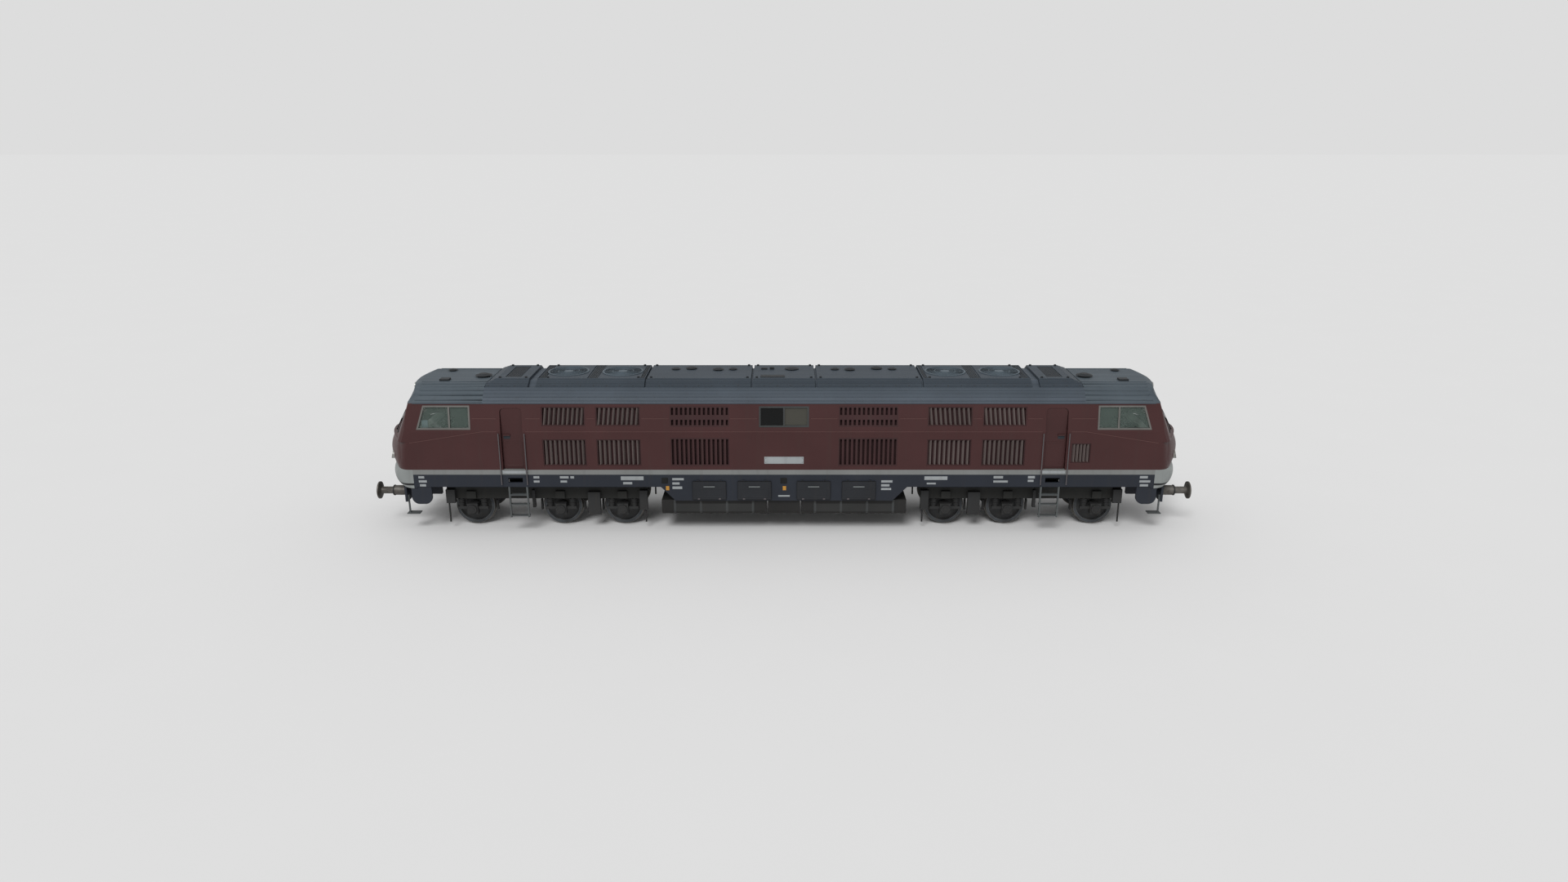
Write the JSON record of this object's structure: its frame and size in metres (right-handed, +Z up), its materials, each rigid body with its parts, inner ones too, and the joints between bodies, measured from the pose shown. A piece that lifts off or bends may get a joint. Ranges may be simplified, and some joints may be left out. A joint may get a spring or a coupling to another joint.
{
  "type": "diesel locomotive",
  "caption": "Six-axle main-line diesel locomotive with a cab at each end, swivelling bogies, turning wheels and fans, opening cab doors and locker lids.",
  "frame": {"origin": "middle of the locomotive, on the surface under the wheel flanges", "axes": "+X along the locomotive towards end B, +Y to its left side, +Z up"},
  "size_m": [23, 3.18, 4.3499],
  "materials": {
    "body_red": "semi-gloss dark red paint with a light grey stripe",
    "roof_grey": "satin blue-grey roof paint",
    "grille_grey": "satin dark grey grille paint",
    "louvre": "dark red frames with grey slats",
    "slate": "satin slate skirt paint",
    "chassis_black": "matt chassis black",
    "wheel_steel": "worn wheel steel with painted webs",
    "buffer_steel": "greased buffer steel",
    "frame_grey": "dull anodised window frames",
    "glass": "tinted safety glass",
    "lamp": "bright lamp rims",
    "handrail": "satin grey handrail paint",
    "fitting_dark": "dark roof castings",
    "engine_grey": "grey engine enamel",
    "cab_wall": "pale green-grey cab paint",
    "seat": "dark seat cover"
  },
  "bodies": {
    "carbody": {"buffers": "buffer_steel", "bulkheads": "cab_wall", "cab_desks": "cab_wall", "cab_roof_a": "roof_grey", "cab_roof_b": "roof_grey", "cab_seats": "seat", "draw_hooks": "chassis_black", "end_steps": "chassis_black", "engine_hatch_a": "roof_grey", "engine_hatch_b": "roof_grey", "engines": "engine_grey", "fan_guards": "grille_grey", "fan_hatch_a": "roof_grey", "fan_hatch_b": "roof_grey", "glazing": "glass", "handrails": "handrail", "intake_hatch_a": "roof_grey", "intake_hatch_b": "roof_grey", "ladders": "chassis_black", "lamps": "lamp", "louvres_left": "louvre", "louvres_right": "louvre", "middle_hatch": "roof_grey", "nose_a": "body_red", "nose_b": "body_red", "roof_fittings": "fitting_dark", "roof_shoulders": "roof_grey", "side_wall_left": "body_red", "side_wall_right": "body_red", "skirt_left": "slate", "skirt_right": "slate", "tanks": "chassis_black", "underframe": "slate", "window_frames": "frame_grey"},
    "bogie_a": {"bogie_frame_a": "chassis_black", "running_gear_a": "chassis_black"},
    "wheelset_a1": {"wheelset_a1": "wheel_steel"},
    "wheelset_a2": {"wheelset_a2": "wheel_steel"},
    "wheelset_a3": {"wheelset_a3": "wheel_steel"},
    "fan_a1": {"fan_a1": "grille_grey"},
    "fan_a2": {"fan_a2": "grille_grey"},
    "cab_door_a_right": {"cab_door_a_right": "body_red"},
    "cab_door_a_left": {"cab_door_a_left": "body_red"},
    "bogie_b": {"bogie_frame_b": "chassis_black", "running_gear_b": "chassis_black"},
    "wheelset_b1": {"wheelset_b1": "wheel_steel"},
    "wheelset_b2": {"wheelset_b2": "wheel_steel"},
    "wheelset_b3": {"wheelset_b3": "wheel_steel"},
    "fan_b1": {"fan_b1": "grille_grey"},
    "fan_b2": {"fan_b2": "grille_grey"},
    "cab_door_b_right": {"cab_door_b_right": "body_red"},
    "cab_door_b_left": {"cab_door_b_left": "body_red"},
    "locker_lid_right_1": {"locker_lid_right_1": "slate"},
    "locker_lid_right_2": {"locker_lid_right_2": "slate"},
    "locker_lid_right_3": {"locker_lid_right_3": "slate"},
    "locker_lid_right_4": {"locker_lid_right_4": "slate"},
    "locker_lid_left_1": {"locker_lid_left_1": "slate"},
    "locker_lid_left_2": {"locker_lid_left_2": "slate"},
    "locker_lid_left_3": {"locker_lid_left_3": "slate"},
    "locker_lid_left_4": {"locker_lid_left_4": "slate"}
  },
  "joints": [
    {"name": "bogie_a_turn", "type": "hinge", "parent": "carbody", "child": "bogie_a", "pos_m": [-6.675, 0, 1.24], "axis": [0, 0, 1], "range_deg": [-4, 4]},
    {"name": "wheelset_a1_turn", "type": "hinge", "parent": "bogie_a", "child": "wheelset_a1", "pos_m": [-8.8, 0, 0.578], "axis": [0, 1, 0], "continuous": true},
    {"name": "wheelset_a2_turn", "type": "hinge", "parent": "bogie_a", "child": "wheelset_a2", "pos_m": [-6.3, 0, 0.578], "axis": [0, 1, 0], "continuous": true},
    {"name": "wheelset_a3_turn", "type": "hinge", "parent": "bogie_a", "child": "wheelset_a3", "pos_m": [-4.55, 0, 0.578], "axis": [0, 1, 0], "continuous": true},
    {"name": "fan_a1_turn", "type": "hinge", "parent": "carbody", "child": "fan_a1", "pos_m": [-6.08, 0, 4.15], "axis": [0, 0, 1], "continuous": true},
    {"name": "fan_a2_turn", "type": "hinge", "parent": "carbody", "child": "fan_a2", "pos_m": [-4.55, 0, 4.15], "axis": [0, 0, 1], "continuous": true},
    {"name": "cab_door_a_right_turn", "type": "hinge", "parent": "carbody", "child": "cab_door_a_right", "pos_m": [-7.145, -1.355, 2.7], "axis": [0, 0, -1], "range_deg": [0, 90]},
    {"name": "cab_door_a_left_turn", "type": "hinge", "parent": "carbody", "child": "cab_door_a_left", "pos_m": [-7.145, 1.355, 2.7], "axis": [0, 0, 1], "range_deg": [0, 90]},
    {"name": "bogie_b_turn", "type": "hinge", "parent": "carbody", "child": "bogie_b", "pos_m": [6.675, 0, 1.24], "axis": [0, 0, 1], "range_deg": [-4, 4]},
    {"name": "wheelset_b1_turn", "type": "hinge", "parent": "bogie_b", "child": "wheelset_b1", "pos_m": [8.8, 0, 0.578], "axis": [0, 1, 0], "continuous": true},
    {"name": "wheelset_b2_turn", "type": "hinge", "parent": "bogie_b", "child": "wheelset_b2", "pos_m": [6.3, 0, 0.578], "axis": [0, 1, 0], "continuous": true},
    {"name": "wheelset_b3_turn", "type": "hinge", "parent": "bogie_b", "child": "wheelset_b3", "pos_m": [4.55, 0, 0.578], "axis": [0, 1, 0], "continuous": true},
    {"name": "fan_b1_turn", "type": "hinge", "parent": "carbody", "child": "fan_b1", "pos_m": [6.08, 0, 4.15], "axis": [0, 0, 1], "continuous": true},
    {"name": "fan_b2_turn", "type": "hinge", "parent": "carbody", "child": "fan_b2", "pos_m": [4.55, 0, 4.15], "axis": [0, 0, 1], "continuous": true},
    {"name": "cab_door_b_right_turn", "type": "hinge", "parent": "carbody", "child": "cab_door_b_right", "pos_m": [7.145, -1.355, 2.7], "axis": [0, 0, 1], "range_deg": [0, 90]},
    {"name": "cab_door_b_left_turn", "type": "hinge", "parent": "carbody", "child": "cab_door_b_left", "pos_m": [7.145, 1.355, 2.7], "axis": [0, 0, -1], "range_deg": [0, 90]},
    {"name": "locker_lid_right_1_turn", "type": "hinge", "parent": "carbody", "child": "locker_lid_right_1", "pos_m": [-2.07, -1.55, 1.562], "axis": [-1, 0, 0], "range_deg": [0, 90]},
    {"name": "locker_lid_right_2_turn", "type": "hinge", "parent": "carbody", "child": "locker_lid_right_2", "pos_m": [-0.82, -1.55, 1.562], "axis": [-1, 0, 0], "range_deg": [0, 90]},
    {"name": "locker_lid_right_3_turn", "type": "hinge", "parent": "carbody", "child": "locker_lid_right_3", "pos_m": [0.82, -1.55, 1.562], "axis": [-1, 0, 0], "range_deg": [0, 90]},
    {"name": "locker_lid_right_4_turn", "type": "hinge", "parent": "carbody", "child": "locker_lid_right_4", "pos_m": [2.07, -1.55, 1.562], "axis": [-1, 0, 0], "range_deg": [0, 90]},
    {"name": "locker_lid_left_1_turn", "type": "hinge", "parent": "carbody", "child": "locker_lid_left_1", "pos_m": [-2.07, 1.55, 1.562], "axis": [1, 0, 0], "range_deg": [0, 90]},
    {"name": "locker_lid_left_2_turn", "type": "hinge", "parent": "carbody", "child": "locker_lid_left_2", "pos_m": [-0.82, 1.55, 1.562], "axis": [1, 0, 0], "range_deg": [0, 90]},
    {"name": "locker_lid_left_3_turn", "type": "hinge", "parent": "carbody", "child": "locker_lid_left_3", "pos_m": [0.82, 1.55, 1.562], "axis": [1, 0, 0], "range_deg": [0, 90]},
    {"name": "locker_lid_left_4_turn", "type": "hinge", "parent": "carbody", "child": "locker_lid_left_4", "pos_m": [2.07, 1.55, 1.562], "axis": [1, 0, 0], "range_deg": [0, 90]}
  ]
}
